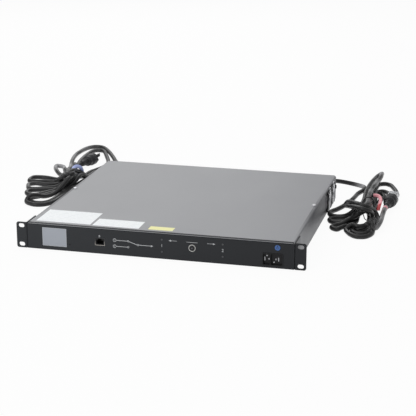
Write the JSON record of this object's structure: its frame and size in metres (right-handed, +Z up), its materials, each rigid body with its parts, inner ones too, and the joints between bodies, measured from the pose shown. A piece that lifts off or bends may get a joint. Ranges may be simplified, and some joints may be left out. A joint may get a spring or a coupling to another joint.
{
  "type": "rack static transfer switch",
  "caption": "One-unit rack transfer switch with a display panel, side fans, rear outlet banks and two bundled supply cords.",
  "frame": {"origin": "under the middle of the unit's own box, on its underside, with the cords left out", "axes": "+X to the right seen from the front, +Y into the rack towards the rear panel, +Z up"},
  "size_m": [0.6898, 0.6679, 0.0455],
  "materials": {
    "cover_paint": "satin grey powder coat",
    "tray_steel": "satin grey powder coat",
    "panel_paint": "fine textured black powder coat",
    "dark_screw": "black oxide",
    "bright_screw": "zinc plated",
    "guard_chrome": "bright plated wire",
    "black_plastic": "moulded, fine grain",
    "black_gloss": "moulded, smooth",
    "display_plastic": "smooth window",
    "circuit_board": "solder mask",
    "jack_metal": "nickel plated",
    "white_plastic": "smooth",
    "blue_plastic": "smooth",
    "lamp_lens": "frosted lens",
    "contact_metal": "plated",
    "relay_plastic": "moulded",
    "heatsink_metal": "extruded",
    "transformer_steel": "varnished laminations",
    "capacitor_sleeve": "shrink sleeve",
    "breaker_plastic": "moulded",
    "cord_rubber": "satin jacket",
    "plug_rubber": "moulded, satin",
    "clear_cap": "clear moulded cap"
  },
  "bodies": {
    "case": {"base_tray": "tray_steel", "top_cover": "cover_paint", "front_panel": "panel_paint", "rear_panel": "tray_steel", "rack_ear_left": "panel_paint", "rack_ear_right": "panel_paint", "ear_screws": "dark_screw", "cover_side_screws": "dark_screw", "cover_top_screws": "bright_screw", "panel_nuts": "bright_screw", "panel_standoffs": "bright_screw", "fan_front_frame": "black_plastic", "fan_front_guard": "guard_chrome", "fan_rear_frame": "black_plastic", "fan_rear_guard": "guard_chrome", "fan_screws": "dark_screw", "display_window": "display_plastic", "display_module": "black_plastic", "display_board": "circuit_board", "reset_switch": "black_plastic", "network_jack_shell": "jack_metal", "network_jack_insert": "black_plastic", "preference_ring": "white_plastic", "preference_switch": "black_plastic", "power_switch": "black_plastic", "indicator_lamps": "lamp_lens", "controls_board": "circuit_board", "service_socket_body": "black_plastic", "service_socket_contacts": "contact_metal", "control_board": "circuit_board", "power_board": "circuit_board", "board_standoffs": "bright_screw", "transfer_relays": "relay_plastic", "thyristor_modules": "black_plastic", "heatsink": "heatsink_metal", "supply_transformer": "transformer_steel", "capacitors": "capacitor_sleeve", "outlet_bank_left": "black_plastic", "outlet_bank_right": "black_plastic", "breaker_a_body": "black_plastic", "breaker_b_body": "black_plastic", "ground_stud": "contact_metal", "gland_a": "black_plastic", "gland_b": "black_plastic", "gland_nuts": "black_plastic", "cord_a_lead": "cord_rubber", "cord_a_hank": "cord_rubber", "cord_a_tail": "cord_rubber", "cord_a_plug": "plug_rubber", "cord_b_lead": "cord_rubber", "cord_b_hank": "cord_rubber", "cord_b_tail": "cord_rubber", "cord_b_plug": "plug_rubber", "cord_b_cap": "clear_cap"},
    "front_rotor": {"fan_front_rotor": "black_plastic"},
    "rear_rotor": {"fan_rear_rotor": "black_plastic"},
    "preference_key": {"preference_button": "black_gloss"},
    "power_key": {"power_button": "blue_plastic"},
    "breaker_a_key": {"breaker_a_button": "breaker_plastic"},
    "breaker_b_key": {"breaker_b_button": "breaker_plastic"}
  },
  "joints": [
    {"name": "fan_front_spin", "type": "hinge", "parent": "case", "child": "front_rotor", "pos_m": [0.19965, 0.1079, 0.0218], "axis": [1, 0, 0], "continuous": true},
    {"name": "fan_rear_spin", "type": "hinge", "parent": "case", "child": "rear_rotor", "pos_m": [0.19965, 0.1489, 0.0218], "axis": [1, 0, 0], "continuous": true},
    {"name": "preference_press", "type": "slide", "parent": "case", "child": "preference_key", "axis": [0, 1, 0], "range_m": [0, 0.0012], "stiffness_N_per_m": 400, "springref_m": -0.002},
    {"name": "power_press", "type": "slide", "parent": "case", "child": "power_key", "axis": [0, 1, 0], "range_m": [0, 0.0012], "stiffness_N_per_m": 400, "springref_m": -0.002},
    {"name": "breaker_a_trip", "type": "slide", "parent": "case", "child": "breaker_a_key", "axis": [0, 1, 0], "range_m": [0, 0.0035]},
    {"name": "breaker_b_trip", "type": "slide", "parent": "case", "child": "breaker_b_key", "axis": [0, 1, 0], "range_m": [0, 0.0035]}
  ]
}
